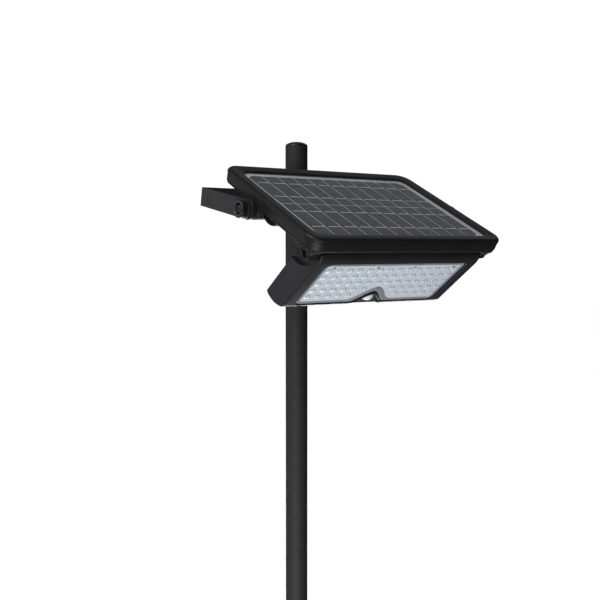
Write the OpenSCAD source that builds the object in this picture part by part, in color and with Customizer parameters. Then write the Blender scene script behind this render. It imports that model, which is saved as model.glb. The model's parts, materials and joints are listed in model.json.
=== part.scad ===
// Solar street lamp: a bolted-down post, a bracket, a tilting solar head and a folding light.
// Row frame: origin on the post's axis at the underside of the base flange.
// +X is the lamp's right seen from behind it, +Y points to its back, +Z is up. Millimetres.

/* [Post] */
// Height of the top of the post above the ground
total_h = 3020; // [3000:10:3100]
// Outside diameter of the post tube
pole_d = 48; // [48:0.1:48.3]
// Wall thickness of the post tube
pole_wall = 3; // [2:0.5:4]
// Height of the domed cap on the post
cap_h = 10; // [9:0.5:12]

/* [Base] */
// Side of the square base flange
flange_w = 176; // [170:1:190]
// Thickness of the base flange
flange_t = 12; // [10:1:14]
// Distance between the anchor holes, along each side
anchor_pitch = 133; // [130:1:136]
// Diameter of the anchor studs
anchor_d = 12; // [12:1:12]
// Length of an anchor stud below the flange
anchor_below = 80; // [60:5:120]
// Side of the square base box
box_w = 95; // [94:0.5:95]
// Wall thickness of the base box
box_wall = 4; // [3:0.5:5]
// Height of the top of the base box
box_top = 578; // [577:1:578]
// Outside width of the neck casting's skirt
skirt_w = 100; // [100:0.5:102]
// Outside diameter of the neck casting's ring
ring_d = 65; // [62:1:66]

/* [Bracket] */
// Height of the middle of the bracket's crossbar
bracket_z = 2893.8; // [2890:0.1:2895]
// Distance from the post's axis to the middle of the crossbar's back face
bracket_y = 34; // [34:0.5:36]
// Pitch of the bracket arms above the horizontal
arm_pitch = 10.5; // [0:0.5:12]
// Length of a bracket arm, from its pivot to the crossbar's back face
arm_len = 169.8; // [169:0.1:175]
// Width of the bracket strap
strap_w = 36; // [34:1:38]
// Thickness of the bracket strap
strap_t = 5; // [4:0.5:5]
// Distance between the outer faces of the two arms
yoke_w = 510.8; // [510:0.2:512]
// Distance between the U-bolts
ubolt_pitch = 64; // [60:1:68]

/* [Solar head] */
// Tilt of the solar panel above the horizontal
panel_tilt = 25.9; // [20:0.1:30]
// Outside width of the bezel
bezel_w = 464; // [462:1:466]
// Outside length of the bezel, front to back
bezel_l = 339; // [337:1:341]
// Height of the bezel
bezel_t = 9; // [9:0.5:9.5]
// Width of the bezel's window
window_w = 413; // [410:1:414]
// Length of the bezel's window
window_l = 288; // [286:1:289]
// Depth of the head, from the bezel's top to the housing's underside
head_t = 31; // [31:0.5:33]
// Number of cell columns
cell_cols = 11; // [8:1:12]
// Number of cell rows
cell_rows = 2; // [2:1:3]
// Pivot's distance behind the window's front edge
pivot_u = 169.8; // [165:0.1:172]
// Pivot's depth below the bezel's top
pivot_d = 32; // [31:0.5:33]
// Diameter of the pivot bosses
boss_d = 40; // [38:1:42]
// Diameter of the pivot knobs
knob_d = 35; // [34:0.5:36]

/* [Light] */
// Pitch of the lens below the horizontal
light_pitch = 35.5; // [30:0.5:40]
// Hinge's distance behind the window's front edge
hinge_u = 7; // [7:0.5:8]
// Hinge's depth below the bezel's top
hinge_d = 45; // [45:0.5:46]
// Width of the light housing
light_w = 388; // [386:1:390]
// Width of the lens
lens_w = 343; // [341:1:345]
// Length of the lens
lens_l = 132.5; // [131:0.5:133]
// Number of lenslets across
led_cols = 14; // [14:1:14]
// Number of lenslet rows
led_rows = 5; // [5:1:5]
// Diameter of the motion sensor's dome
pir_d = 27.4; // [26:0.2:28]

/* [Hidden] */
$fn = 64;
eps = 0.05;
slip = 0.05;

// Post, worked out
pole_r = pole_d / 2;
skirt_bot = 561;
flare_bot = 582;
ring_bot = 609;
ring_top = 625;
stud_top = flange_t + 2.5 + 10 + 6;
stud_neck = anchor_d / 2 - 0.1;
seat_z = 566;

// Head frame: origin at the middle of the window's front edge in the bezel's top plane
pivot_y = -bracket_y - arm_len * cos(arm_pitch);
pivot_z = bracket_z - arm_len * sin(arm_pitch);
head_y = pivot_y - pivot_u * cos(panel_tilt) - pivot_d * sin(panel_tilt);
head_z = pivot_z - pivot_u * sin(panel_tilt) + pivot_d * cos(panel_tilt);
head_mid = window_l / 2;
bezel_r = 30;
window_r = 20;
edge_r = 6;
lip_t = 4;
gasket_t = 0.5;
glass_t = 3.2;
glass_top = lip_t + gasket_t;
cell_top = glass_top + glass_t;
cell_t = 0.25;
sheet_top = cell_top + cell_t;
sheet_t = 0.4;
pocket_w = window_w + 7;
pocket_l = window_l + 7;
cell_pitch = 35.7;
cell_gap = 1.8;
row_l = 132;
shell_w = bezel_w - 2;
shell_l = bezel_l - 2;
shell_top = bezel_t;
shell_wall = 2.5;
floor_w = 442;
floor_front = -17;
floor_back = 302;
knee = 21;
web_u = 132;
web_d = 7;
web_r = 38;
trough_r = 20.5;
pack_w = 400;
pack_l = 178;
pack_mid = 201;
pack_t = 10;
pack_wall = 3;
arm_in = yoke_w / 2 - strap_t;
boss_in = 205;
boss_out = arm_in - 1.4;
pin_r = 4;
ear_in = 184.5;
ear_out = 217;
ear_r = 10;
ear_face = light_w / 2 + 0.5;
batt_r = 13;
batt_l = 65;
batt_n = 6;
batt_pitch = 29;
batt_d = 24.2;
screw_r = 1.5;
side_screws = [50, 118, 250];
back_screws = [-120, 0, 120];
button_u = 75;
button_x = 120;
button_r = 6;
button_travel = 1.5;

// Light frame: origin on the hinge, y down the lens, z out of the light's back
rim_z = -19.8;
lens_z = -16.3;
lens_t = 2.5;
lens_y = 5.5;
lens_mid = lens_y + lens_l / 2;
lens_in = lens_z + lens_t;
seal_t = 0.8;
barrel_r = 19;
heel_y = 99.5;
heel_z = 38.5;
heel_r = 72;
heel_top = 34;
scarf_y = -4.7;
scarf_z = 58.1;
scarf_r = 70.5;
dish_x = 183.5;
led_px = 23.8;
led_py = 21.2;
led_y0 = lens_mid - 2 * led_py - 0.5;
board_z = lens_in + seal_t + 0.6;
board_t = 1.6;
plate_t = 2;
notch_w = 87;
notch_h = 35;
arch_t = 6.8;
pir_y = 124.5;
pir_z = -6.3;
scoop_z = -9;
pir_r = pir_d / 2;
lens_screws_xy = [[-146, 20.4], [-45, 20.4], [45, 20.4], [146, 20.4], [0, 89]];

// Post clamp
saddle_h = 92;
saddle_w = 118;
saddle_y = -bracket_y + 3.5;
saddle_t = 6;
ubolt_r = 4;
ubolt_x = pole_r + slip + ubolt_r;
yoke_bolt_x = 46;

// Shared shapes

// Rounded rectangle, centred
module rrect(w, l, r) {
    square([w - 2 * r, l], center = true);
    square([w, l - 2 * r], center = true);
    for (x = [-1, 1], y = [-1, 1])
        translate([x * (w / 2 - r), y * (l / 2 - r)]) circle(r);
}

// Carries a profile (x outward, y up) round a rounded rectangle of corner radius r
module swept(w, l, r) {
    for (a = [0, 180])
        rotate([0, 0, a]) {
            translate([w / 2 - r, 0, 0]) rotate([90, 0, 0])
                linear_extrude(l - 2 * r, center = true) children();
            translate([0, l / 2 - r, 0]) rotate([0, 0, 90]) rotate([90, 0, 0])
                linear_extrude(w - 2 * r, center = true) children();
            translate([w / 2 - r, l / 2 - r, 0]) rotate_extrude(angle = 90) children();
            translate([r - w / 2, l / 2 - r, 0]) rotate([0, 0, 90]) rotate_extrude(angle = 90) children();
        }
}

// Cylinder along X from x0 to x1
module rod_x(r, x0, x1) {
    translate([x0, 0, 0]) rotate([0, 90, 0]) cylinder(r = r, h = x1 - x0);
}

// A shape at both sides of the lamp
module both_sides() {
    children();
    mirror([1, 0, 0]) children();
}

module hex_prism(flats, h) {
    cylinder(d = flats / cos(30), h = h, $fn = 6);
}

module hex_nut(flats, h, bore) {
    difference() {
        hex_prism(flats, h);
        translate([0, 0, -eps]) cylinder(r = bore, h = h + 2 * eps);
    }
}

module washer(r_out, r_in, t) {
    difference() {
        cylinder(r = r_out, h = t);
        translate([0, 0, -eps]) cylinder(r = r_in, h = t + 2 * eps);
    }
}

// A countersunk or pan screw pointing up, its head at z = 0
module screw(r, len, head_r, head_t) {
    difference() {
        cylinder(r = head_r, h = head_t);
        translate([0, 0, -eps]) cylinder(r = r * 0.7, h = head_t * 0.6);
    }
    translate([0, 0, head_t]) cylinder(r = r, h = len);
}

module at_anchors() {
    for (x = [-1, 1], y = [-1, 1])
        translate([x * anchor_pitch / 2, y * anchor_pitch / 2, 0]) children();
}

module at_yoke() {
    translate([0, pivot_y, pivot_z]) rotate([arm_pitch, 0, 0]) children();
}

module at_head() {
    translate([0, head_y, head_z]) rotate([panel_tilt, 0, 0]) children();
}

module at_light() {
    at_head() translate([0, hinge_u, -hinge_d])
        rotate([-light_pitch - panel_tilt, 0, 0]) children();
}

// Post

module base_flange() {
    color([0.20, 0.20, 0.20])
    difference() {
        union() {
            linear_extrude(flange_t - 3) rrect(flange_w, flange_w, 8);
            translate([0, 0, flange_t - 3]) swept(flange_w, flange_w, 8)
                polygon([[0, 0], [8, 0], [5, 3], [0, 3]]);
            translate([0, 0, flange_t - 3]) linear_extrude(3) square(flange_w - 16, center = true);
        }
        at_anchors() translate([0, 0, -eps]) cylinder(d = anchor_d + 2, h = flange_t + 2 * eps);
        translate([0, 0, -eps]) cylinder(r = 30, h = flange_t + 2 * eps);
    }
}

module base_box() {
    color([0.20, 0.20, 0.20])
    difference() {
        union() {
            translate([0, 0, flange_t]) linear_extrude(box_top - flange_t) rrect(box_w, box_w, 10);
            translate([0, 0, flange_t]) swept(box_w + 8, box_w + 8, 14)
                polygon([[6, 0], [14, 0], [10, 4], [6, 4]]);
        }
        translate([0, 0, flange_t - eps]) linear_extrude(box_top)
            rrect(box_w - 2 * box_wall, box_w - 2 * box_wall, 10 - box_wall);
    }
}

// Rounded square from the skirt up to the round ring, as quarter flares
module neck_casting() {
    flare_r = ring_bot - flare_bot;
    color([0.22, 0.22, 0.22])
    difference() {
        union() {
            translate([0, 0, skirt_bot]) linear_extrude(flare_bot - skirt_bot)
                rrect(skirt_w, skirt_w, 13);
            translate([0, 0, flare_bot]) intersection() {
                linear_extrude(flare_r) rrect(skirt_w, skirt_w, 13);
                rotate_extrude() difference() {
                    square([skirt_w, flare_r]);
                    translate([ring_d / 2 + 45, 48]) circle(46);
                    translate([ring_d / 2 + 30, flare_r - 8]) square([60, 20]);
                }
            }
            translate([0, 0, flare_bot]) cylinder(d = ring_d, h = ring_top - flare_bot - 3);
            translate([0, 0, ring_top - 3]) rotate_extrude()
                polygon([[0, 0], [ring_d / 2, 0], [ring_d / 2 - 3, 3], [0, 3]]);
        }
        translate([0, 0, skirt_bot - eps]) linear_extrude(box_top - skirt_bot + eps)
            rrect(box_w + 0.2, box_w + 0.2, 10.1);
        translate([0, 0, box_top - eps]) cylinder(r = pole_r + slip, h = 60);
        for (a = [0, 120, 240])
            rotate([0, 0, a + 90]) translate([pole_r - 1, 0, ring_bot + 6]) rotate([0, 90, 0])
                cylinder(r = 3, h = 20);
    }
}

module neck_screws() {
    color([0.12, 0.12, 0.12])
    for (a = [0, 120, 240])
        rotate([0, 0, a + 90]) translate([pole_r + slip, 0, ring_bot + 6]) rotate([0, 90, 0])
            difference() {
                cylinder(r = 3 - slip, h = 7.5);
                translate([0, 0, 4.5]) hex_prism(3, 4);
            }
}

module pole_tube() {
    color([0.20, 0.20, 0.20])
    translate([0, 0, seat_z]) difference() {
        cylinder(r = pole_r, h = total_h - cap_h - seat_z);
        translate([0, 0, -eps]) cylinder(r = pole_r - pole_wall, h = total_h);
    }
}

module pole_cap() {
    dome_r = (pow(pole_r - 1, 2) + pow(cap_h - 3, 2)) / (2 * (cap_h - 3));
    color([0.16, 0.16, 0.16])
    translate([0, 0, total_h - cap_h]) {
        cylinder(r = pole_r, h = 3);
        translate([0, 0, 3]) intersection() {
            cylinder(r = pole_r, h = cap_h);
            translate([0, 0, cap_h - 3 - dome_r]) sphere(dome_r, $fn = 128);
        }
        translate([0, 0, -18]) cylinder(r = pole_r - pole_wall - slip, h = 18);
    }
}

module anchor_studs() {
    color([0.55, 0.56, 0.58])
    at_anchors() {
        translate([0, 0, -anchor_below]) cylinder(d = anchor_d, h = anchor_below);
        cylinder(r = stud_neck, h = stud_top);
    }
}

module anchor_washers() {
    color([0.55, 0.56, 0.58])
    at_anchors() translate([0, 0, flange_t]) washer(12, stud_neck + slip, 2.5);
}

module anchor_nuts() {
    color([0.55, 0.56, 0.58])
    at_anchors() translate([0, 0, flange_t + 2.5]) hex_nut(18, 10, stud_neck + slip);
}

// Bracket

module at_u_bolts() {
    for (z = [-1, 1])
        translate([0, 0, bracket_z + z * ubolt_pitch / 2]) children();
}

module at_u_legs() {
    at_u_bolts() for (x = [-1, 1])
        translate([x * ubolt_x, saddle_y, 0]) rotate([90, 0, 0]) children();
}

module pole_saddle() {
    color([0.17, 0.17, 0.17])
    difference() {
        union() {
            translate([0, saddle_y + saddle_t, bracket_z]) rotate([90, 0, 0])
                linear_extrude(saddle_t) rrect(saddle_w, saddle_h, 10);
            translate([-24, saddle_y + saddle_t - eps, bracket_z - saddle_h / 2])
                cube([48, 15, saddle_h]);
            intersection() {
                translate([-saddle_w / 2, -60, bracket_z - strap_w / 2])
                    cube([saddle_w, 60 + saddle_y + eps, strap_w]);
                at_yoke() translate([-saddle_w, arm_len, -60]) cube([2 * saddle_w, 60, 120]);
            }
        }
        translate([0, 0, bracket_z - saddle_h]) cylinder(r = pole_r + slip, h = 2 * saddle_h);
        at_u_legs() translate([0, 0, -30]) cylinder(r = ubolt_r + slip, h = 60);
        for (x = [-1, 1])
            at_yoke() translate([x * yoke_bolt_x, arm_len - 30, 0]) rotate([-90, 0, 0])
                cylinder(r = pin_r + slip, h = 60);
        for (x = [-1, 1])
            at_yoke() translate([x * yoke_bolt_x, arm_len + 10, 0]) rotate([-90, 0, 0])
                cylinder(r = 9, h = 30);
    }
}

module clamp_u_bolts() {
    leg = -saddle_y + 16;
    color([0.6, 0.61, 0.63])
    at_u_bolts() {
        rotate_extrude(angle = 180) translate([ubolt_x, 0]) circle(ubolt_r);
        for (x = [-1, 1])
            translate([x * ubolt_x, 0, 0]) rotate([90, 0, 0]) cylinder(r = ubolt_r, h = leg);
    }
}

module clamp_washers() {
    color([0.6, 0.61, 0.63])
    at_u_legs() washer(8, ubolt_r + slip, 1.6);
}

module clamp_nuts() {
    color([0.6, 0.61, 0.63])
    at_u_legs() translate([0, 0, 1.6]) hex_nut(13, 6.5, ubolt_r + slip);
}

module yoke() {
    half = yoke_w / 2;
    bend = 8;
    color([0.19, 0.19, 0.19])
    at_yoke() difference() {
        union() {
            linear_extrude(strap_w, center = true) difference() {
                union() {
                    translate([-half, 0]) square([2 * half, arm_len - bend]);
                    translate([bend - half, 0]) square([2 * (half - bend), arm_len]);
                    for (x = [-1, 1])
                        translate([x * (half - bend), arm_len - bend]) circle(bend);
                }
                translate([strap_t - half, -1])
                    square([2 * (half - strap_t), arm_len - strap_t - 3 + 1]);
                translate([strap_t + 3 - half, 0])
                    square([2 * (half - strap_t - 3), arm_len - strap_t]);
                for (x = [-1, 1])
                    translate([x * (half - strap_t - 3), arm_len - strap_t - 3]) circle(3);
            }
            both_sides() rod_x(strap_w / 2, half - strap_t, half);
        }
        both_sides() rod_x(pin_r + slip, half - 2 * strap_t, half + 1);
        both_sides() translate([half - 0.8, 0, 0]) rotate([90, 0, 90]) linear_extrude(2)
            translate([90, 0]) rrect(96, 20, 9.9);
        for (x = [-1, 1])
            translate([x * yoke_bolt_x, arm_len + 5, 0]) rotate([90, 0, 0])
                cylinder(r = pin_r + slip, h = 20);
    }
}

module yoke_bolts() {
    color([0.6, 0.61, 0.63])
    for (x = [-1, 1])
        at_yoke() translate([x * yoke_bolt_x, arm_len - strap_t, 0]) rotate([-90, 0, 0]) {
            translate([0, 0, -5.3]) hex_prism(13, 5.3);
            cylinder(r = pin_r, h = strap_t + 18.5);
        }
}

module yoke_nuts() {
    color([0.6, 0.61, 0.63])
    for (x = [-1, 1])
        at_yoke() translate([x * yoke_bolt_x, arm_len + 10, 0]) rotate([-90, 0, 0])
            hex_nut(13, 6.5, pin_r + slip);
}

// Solar head, drawn in the head frame: y towards the back, z out of the panel's face

module panel_bezel() {
    color([0.24, 0.24, 0.25])
    at_head() translate([0, head_mid, -bezel_t]) difference() {
        union() {
            linear_extrude(bezel_t - edge_r) rrect(bezel_w, bezel_l, bezel_r);
            linear_extrude(bezel_t) rrect(bezel_w - 2 * edge_r, bezel_l - 2 * edge_r, bezel_r - edge_r);
            swept(bezel_w, bezel_l, bezel_r) translate([bezel_r - edge_r, bezel_t - edge_r])
                intersection() {
                    circle(edge_r);
                    square(edge_r);
                }
        }
        translate([0, 0, -eps]) linear_extrude(bezel_t + 1) rrect(window_w, window_l, window_r);
        translate([0, 0, -eps]) linear_extrude(bezel_t - lip_t + eps) rrect(pocket_w, pocket_l, 8);
        at_housing_screws() translate([0, 0, -eps]) cylinder(r = screw_r + slip, h = 5);
    }
}

// Places for the housing screws, about the middle of the head
module at_housing_screws() {
    for (x = [-1, 1], u = side_screws)
        translate([x * 213.5, u - head_mid, 0]) children();
    for (x = back_screws)
        translate([x, 152.5, 0]) children();
}

module panel_gasket() {
    color([0.1, 0.1, 0.1])
    at_head() translate([0, head_mid, -glass_top]) linear_extrude(gasket_t) difference() {
        rrect(pocket_w - 1, pocket_l - 1, 8);
        rrect(window_w + 1, window_l + 1, window_r);
    }
}

module panel_glass() {
    color([0.75, 0.78, 0.82, 0.35])
    at_head() translate([0, head_mid, -cell_top]) linear_extrude(glass_t)
        rrect(pocket_w - 1, pocket_l - 1, 8);
}

module at_cells() {
    for (i = [0 : cell_cols - 1], j = [0 : cell_rows - 1])
        translate([
            (i - (cell_cols - 1) / 2) * cell_pitch,
            head_mid + (j - (cell_rows - 1) / 2) * (row_l + cell_gap),
            -cell_top - cell_t
        ]) children();
}

module solar_cells() {
    color([0.12, 0.12, 0.14])
    at_head() at_cells()
        translate([0, 0, cell_t / 2]) difference() {
            cube([cell_pitch - cell_gap, row_l, cell_t], center = true);
            for (y = [-1, 1])
                translate([3, y * row_l / 4, cell_t / 2]) cube([28, 2, cell_t], center = true);
        }
}

module cell_ribbons() {
    color([0.7, 0.7, 0.72])
    at_head() at_cells() for (y = [-1, 1])
        translate([3, y * row_l / 4, cell_t * 0.75]) cube([27, 1.8, cell_t / 2], center = true);
}

module cell_backsheet() {
    color([0.5, 0.5, 0.54])
    at_head() translate([0, head_mid, -sheet_top - sheet_t]) linear_extrude(sheet_t)
        rrect(pocket_w - 1, pocket_l - 1, 8);
}

// Outer form of the housing, shrunk by t on every side
module shell_form(t, z0, z1) {
    intersection() {
        translate([0, head_mid, z1]) linear_extrude(z0 - z1)
            rrect(shell_w - 2 * t, shell_l - 2 * t, bezel_r - t);
        rotate([90, 0, 90]) linear_extrude(bezel_w, center = true) polygon([
            [head_mid - shell_l / 2 + t, -shell_top], [head_mid + shell_l / 2 - t, -shell_top],
            [head_mid + shell_l / 2 - t, -knee], [floor_back - t, -head_t + t],
            [floor_front + t, -head_t + t], [head_mid - shell_l / 2 + t, -knee]
        ]);
        rotate([90, 0, 0]) linear_extrude(3 * bezel_l, center = true) polygon([
            [-shell_w / 2 + t, -shell_top], [shell_w / 2 - t, -shell_top],
            [shell_w / 2 - t, -knee], [floor_w / 2 - t, -head_t + t],
            [-floor_w / 2 + t, -head_t + t], [-shell_w / 2 + t, -knee]
        ]);
    }
}

// One hinge ear, drawn about the hinge's axis in the YZ plane
module ear_outline() {
    circle(ear_r);
    polygon([[-ear_r, 0], [4, -9], [27, 2], [46, 8], [72, 15], [-27, 15]]);
}

// Recess in an ear's outer face, pointed towards the back
module ear_recess() {
    circle(7);
    polygon([[-2, 6.7], [14, 5.5], [6.7, -2]]);
}

module panel_housing() {
    color([0.21, 0.21, 0.22])
    at_head() difference() {
        union() {
            difference() {
                shell_form(0, -shell_top, -head_t);
                shell_form(shell_wall, -shell_top + 1, -head_t + shell_wall);
                translate([0, pack_mid, -head_t - 1]) linear_extrude(head_t - shell_top)
                    rrect(pack_w - 2 * pack_wall, pack_l - 2 * pack_wall, 17);
            }
            intersection() {
                shell_form(0, -shell_top, -head_t);
                union() {
                    translate([0, hinge_u, -hinge_d]) rod_x(trough_r + 2.5, -230, 230);
                    translate([0, head_mid, -head_t]) at_housing_screws()
                        cylinder(r = 4.5, h = head_t - shell_top);
                    translate([button_x, button_u, -head_t]) cylinder(r = 10, h = 8);
                }
            }
            both_sides() translate([0, pivot_u, -pivot_d]) {
                rod_x(boss_d / 2, boss_in, boss_out - 6);
                rod_x(boss_d / 2 - 1.5, boss_in, boss_out);
            }
            both_sides() intersection() {
                translate([0, web_u, -web_d]) rod_x(web_r, 206, floor_w / 2);
                translate([200, web_u - 50, -head_t - 40]) cube([30, 100, 42]);
            }
            both_sides() translate([0, hinge_u, -hinge_d]) {
                rod_x(ear_r, ear_in, ear_out);
                translate([ear_face, 0, 0]) rotate([90, 0, 90])
                    linear_extrude(ear_out - ear_face) ear_outline();
            }
        }
        translate([0, hinge_u, -hinge_d]) rod_x(trough_r, 0.4 - ear_in, ear_in - 0.4);
        both_sides() translate([0, hinge_u, -hinge_d]) difference() {
            rod_x(trough_r, ear_in - 1, ear_face);
            rod_x(ear_r, ear_in - 2, ear_face + 1);
        }
        both_sides() translate([0, hinge_u, -hinge_d]) rod_x(pin_r, ear_in - 1, ear_out + 1);
        both_sides() translate([ear_out - 9, hinge_u, -hinge_d]) rotate([90, 0, 90])
            linear_extrude(10) ear_recess();
        both_sides() translate([0, pivot_u, -pivot_d]) rod_x(pin_r, boss_out - 34, boss_out + 1);
        translate([0, head_mid, -head_t - 1]) at_housing_screws() {
            cylinder(r = 3.3, h = 3.5);
            cylinder(r = screw_r + slip, h = head_t);
        }
        translate([button_x, button_u, -head_t - 1]) {
            cylinder(r = button_r + 1.9, h = 4);
            cylinder(r = button_r - 1.9, h = 12);
        }
        translate([0, pack_mid, -head_t - 1]) at_cover_screws() cylinder(r = screw_r + slip, h = 4);
    }
}

module housing_screws() {
    color([0.5, 0.5, 0.52])
    at_head() translate([0, head_mid, -head_t + 0.1]) at_housing_screws()
        screw(screw_r, head_t - shell_top + 4 - 2.5, 3, 2.4);
}

module at_cover_screws() {
    for (x = [-1, 1], y = [-1, 1])
        translate([x * (pack_w / 2 - 5.5), y * 52, 0]) children();
}

module battery_cover() {
    color([0.2, 0.2, 0.21])
    at_head() translate([0, pack_mid, -head_t - pack_t]) difference() {
        union() {
            linear_extrude(pack_t) rrect(pack_w, pack_l, 20);
        }
        translate([0, 0, pack_wall]) linear_extrude(pack_t)
            rrect(pack_w - 2 * pack_wall - 14, pack_l - 2 * pack_wall, 12);
        translate([0, 0, -eps]) at_cover_screws() {
            cylinder(r = 3.2, h = 5);
            cylinder(r = screw_r + slip, h = 20);
        }
    }
}

module cover_screws() {
    color([0.5, 0.5, 0.52])
    at_head() translate([0, pack_mid, -head_t - pack_t + 2.5]) at_cover_screws()
        screw(screw_r, 8, 3, 2.4);
}

module at_batteries() {
    for (i = [0 : batt_n - 1])
        translate([(i - (batt_n - 1) / 2) * batt_pitch, pack_mid + 30, -batt_d])
            rotate([90, 0, 0]) children();
}

module battery_cells() {
    color([0.15, 0.35, 0.6])
    at_head() at_batteries() {
        cylinder(r = batt_r, h = batt_l);
        translate([0, 0, batt_l]) cylinder(r = 4, h = 1.5);
    }
}

module battery_holder() {
    color([0.12, 0.12, 0.12])
    at_head() difference() {
        translate([-batt_n * batt_pitch / 2, pack_mid - 40, -37.8])
            cube([batt_n * batt_pitch, 74, 12]);
        at_batteries() translate([0, 0, -0.5]) cylinder(r = batt_r + slip, h = batt_l + 3);
    }
}

module controller_board() {
    color([0.1, 0.35, 0.2])
    at_head() translate([-20, 78, -25]) difference() {
        linear_extrude(1.6) rrect(110, 50, 3);
        for (x = [-1, 1], y = [-1, 1])
            translate([x * 50, y * 20, -eps]) cylinder(r = 1.6, h = 2);
    }
}

module controller_parts() {
    color([0.15, 0.15, 0.15])
    at_head() translate([-20, 78, -23.4]) {
        translate([-30, -5, 0]) cube([12, 12, 1.6]);
        translate([5, 4, 0]) cylinder(r = 5, h = 8);
        translate([22, -8, 0]) cube([14, 14, 6]);
        translate([-44, 5, 0]) cube([10, 10, 5]);
        translate([-8, -18, 0]) cube([8, 5, 2.5]);
    }
}

module pivot_washers() {
    color([0.5, 0.5, 0.52])
    at_head() both_sides() translate([0, pivot_u, -pivot_d]) difference() {
        rod_x(15, boss_out, boss_out + 1.3);
        rod_x(pin_r + slip, boss_out - 1, boss_out + 2);
    }
}

module pivot_knobs() {
    x0 = yoke_w / 2 + 0.1;
    color([0.14, 0.14, 0.15])
    at_head() both_sides() translate([0, pivot_u, -pivot_d]) difference() {
        union() {
            rod_x(knob_d / 2 - 2, x0, x0 + 12);
            rod_x(knob_d / 2, x0, x0 + 3);
            rod_x(knob_d / 2, x0 + 4.5, x0 + 10.5);
        }
        rod_x(10, x0 + 4, x0 + 13);
        rod_x(pin_r + slip, x0 - 1, x0 + 13);
    }
}

module pivot_bolts() {
    x0 = yoke_w / 2 + 4.1;
    color([0.62, 0.63, 0.65])
    at_head() both_sides() translate([0, pivot_u, -pivot_d]) difference() {
        union() {
            rod_x(pin_r, boss_out - 24, x0);
            rod_x(6.5, x0, x0 + 6);
        }
        translate([x0 + 3, 0, 0]) rotate([0, 90, 0]) hex_prism(6, 4);
    }
}

module hinge_pins() {
    color([0.55, 0.55, 0.57])
    at_head() both_sides() translate([0, hinge_u, -hinge_d]) {
        rod_x(pin_r, dish_x - 14, ear_out - 9);
        rod_x(6, ear_out - 9, ear_out - 6);
    }
}

// Light, drawn in the light frame

// Side outline of the light about the hinge's axis
module light_outline() {
    rim_end = heel_y + sqrt(pow(heel_r, 2) - pow(heel_z - rim_z, 2));
    heel_end = heel_y + sqrt(pow(heel_r, 2) - pow(heel_z - heel_top, 2));
    circle(barrel_r);
    polygon([
        [0, rim_z], [rim_end, rim_z], [heel_end, heel_top], [heel_end - 1, 38], [58, 41.5], [-6.6, 17.8]
    ]);
    intersection() {
        translate([heel_y, heel_z]) circle(heel_r);
        translate([heel_y, rim_z]) square([100, heel_top - rim_z]);
    }
}

module light_hollow() {
    polygon([
        [18.5, -13], [140, -13], [157.5, 5], [167.3, 26], [167, 34.3], [58.8, 37.6], [18.5, 22.6]
    ]);
}

// Bell-shaped bay in the lens for the motion sensor, d wider all round
module bay_outline(d) {
    half = notch_w / 2 + d;
    top = notch_h + d;
    polygon([
        for (i = [0 : 24])
            let (x = half * (i / 12 - 1))
                [x, lens_y + lens_l - top * (1 + cos(180 * x / half)) / 2],
        [half, lens_y + lens_l + 20], [-half, lens_y + lens_l + 20]
    ]);
}

// Posts that carry the lens screws, from the lens to the light's back
module lens_posts() {
    for (p = lens_screws_xy)
        translate([p[0], p[1], lens_in]) cylinder(r = 4, h = 60);
}

module light_housing() {
    color([0.17, 0.17, 0.2])
    at_light() difference() {
        rotate([90, 0, 90]) linear_extrude(light_w, center = true) light_outline();
        difference() {
            rotate([90, 0, 90]) linear_extrude(light_w - 6, center = true) light_hollow();
            both_sides() translate([0, scarf_y, scarf_z]) rod_x(scarf_r + 3, dish_x - 3, light_w / 2);
            translate([0, 0, -14]) linear_extrude(scoop_z + 2.5 + 14) {
                bay_outline(4.5);
                translate([-48, lens_y + lens_l]) square([96, 20]);
            }
            lens_posts();
        }
        difference() {
            union() {
                translate([0, lens_mid, rim_z - 1]) linear_extrude(lens_in - rim_z + 1)
                    rrect(lens_w + 0.6, lens_l + 0.6, 14);
                translate([0, lens_mid, rim_z]) linear_extrude(8)
                    rrect(lens_w - 12, lens_l - 12, 12);
            }
            translate([0, 0, rim_z - 2]) linear_extrude(12) bay_outline(-0.3);
            lens_posts();
        }
        translate([0, 0, rim_z - 2]) linear_extrude(scoop_z - rim_z + 2) bay_outline(-arch_t - 0.3);
        translate([0, pir_y, scoop_z - 1]) cylinder(r = pir_r + 0.1, h = 5);
        both_sides() translate([0, scarf_y, scarf_z]) rod_x(scarf_r, dish_x, light_w / 2 + 1);
        both_sides() rod_x(pin_r + slip, dish_x - 15, dish_x + 1);
        for (p = lens_screws_xy)
            translate([p[0], p[1], lens_in - 1]) cylinder(r = screw_r + slip, h = 12);
    }
}

module at_lenslets() {
    for (i = [0 : led_cols - 1], j = [0 : led_rows - 1])
        let (x = (i - (led_cols - 1) / 2) * led_px)
            if (!(j == 4 && abs(x) < 2 * led_px) && !(j == 3 && abs(x) < led_px))
                translate([x, led_y0 + j * led_py, 0]) children();
}

module lens_cover() {
    color([0.8, 0.84, 0.88, 0.6])
    at_light() difference() {
        union() {
            translate([0, lens_mid, lens_z]) linear_extrude(lens_t) rrect(lens_w, lens_l, 14);
            at_lenslets() translate([0, 0, lens_z - 3]) cylinder(r = 7.5, h = 3.1);
        }
        translate([0, 0, lens_z - 4]) linear_extrude(lens_t + 6) bay_outline(0);
        for (p = lens_screws_xy)
            translate([p[0], p[1], lens_z - 4]) {
                cylinder(r = 3.2, h = 5);
                cylinder(r = screw_r + slip, h = 9);
            }
    }
}

module lens_gasket() {
    color([0.08, 0.08, 0.08])
    at_light() translate([0, 0, lens_in]) linear_extrude(seal_t) difference() {
        translate([0, lens_mid]) rrect(lens_w - 12.6, lens_l - 12.6, 12);
        translate([0, lens_mid]) rrect(lens_w - 18, lens_l - 18, 6);
        bay_outline(3);
        for (p = lens_screws_xy)
            translate(p) circle(4.2);
    }
}

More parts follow.
